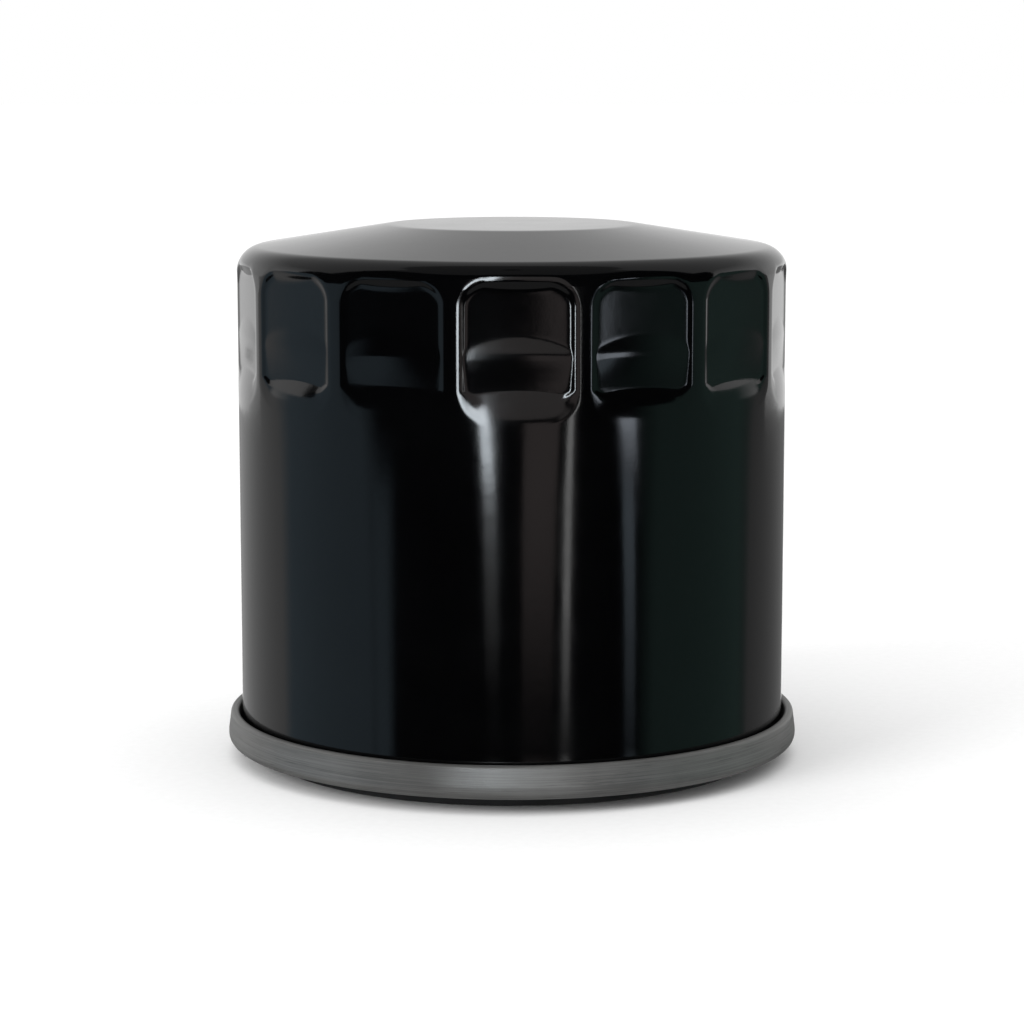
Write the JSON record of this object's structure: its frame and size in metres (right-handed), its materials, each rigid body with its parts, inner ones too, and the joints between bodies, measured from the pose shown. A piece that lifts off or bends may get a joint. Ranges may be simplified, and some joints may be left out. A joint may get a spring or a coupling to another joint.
{
  "type": "oil filter",
  "caption": "Spin-on oil filter: fluted black steel can with a domed end, rolled seam and rubber gasket, around a pleated element, relief valve and drain-back valve.",
  "frame": {"origin": "centre of the gasket's sealing face, which is the lowest face of the filter", "axes": "+Z along the filter's axis, from the gasket to the dome; -Y faces the viewer, with a wrench flute 1.2 degrees to the right of it"},
  "size_m": [0.0715, 0.0714, 0.0663],
  "materials": {
    "can_paint": "gloss black baked enamel",
    "plated_steel": "satin zinc plate with fine lines round the ring",
    "plate_steel": "oiled pressed steel",
    "gasket_rubber": "matte moulded nitrile",
    "sealant": "matte cured compound",
    "valve_rubber": "matte moulded silicone",
    "cap_steel": "bright tinplate",
    "potting": "cured adhesive",
    "filter_paper": "resin-treated pleated paper",
    "tube_steel": "perforated tinplate",
    "valve_steel": "zinc plate",
    "spring_steel": "drawn spring wire"
  },
  "bodies": {
    "housing": {"canister": "can_paint", "seaming_lid": "plated_steel", "seam_sealant": "sealant", "sealing_gasket": "gasket_rubber", "thread_plate": "plate_steel", "element_spring": "spring_steel"},
    "element": {"lower_end_cap": "cap_steel", "lower_potting": "potting", "pleated_media": "filter_paper", "media_seam_clip": "cap_steel", "center_tube": "tube_steel", "upper_potting": "potting", "upper_end_cap": "cap_steel", "bypass_valve_housing": "valve_steel", "bypass_valve_cage": "valve_steel", "bypass_valve_spring": "spring_steel"},
    "bypass_valve": {"bypass_valve_disc": "valve_steel", "bypass_valve_seal": "gasket_rubber", "bypass_valve_stem": "plate_steel"},
    "drainback_valve": {"anti_drainback_valve": "valve_rubber"}
  },
  "joints": [
    {"name": "element_float", "type": "slide", "parent": "housing", "child": "element", "axis": [0, 0, 1], "range_m": [0, 0.002], "stiffness_N_per_m": 3000, "springref_m": -0.01, "deforming": ["element_spring"]},
    {"name": "bypass_valve_lift", "type": "slide", "parent": "element", "child": "bypass_valve", "axis": [0, 0, -1], "range_m": [0, 0.0025], "stiffness_N_per_m": 2000, "springref_m": -0.004, "deforming": ["bypass_valve_spring"]},
    {"name": "drainback_valve_lift", "type": "slide", "parent": "housing", "child": "drainback_valve", "axis": [0, 0, 1], "range_m": [0, 0.0015], "stiffness_N_per_m": 400, "springref_m": -0.002, "deforming": ["anti_drainback_valve"]}
  ]
}
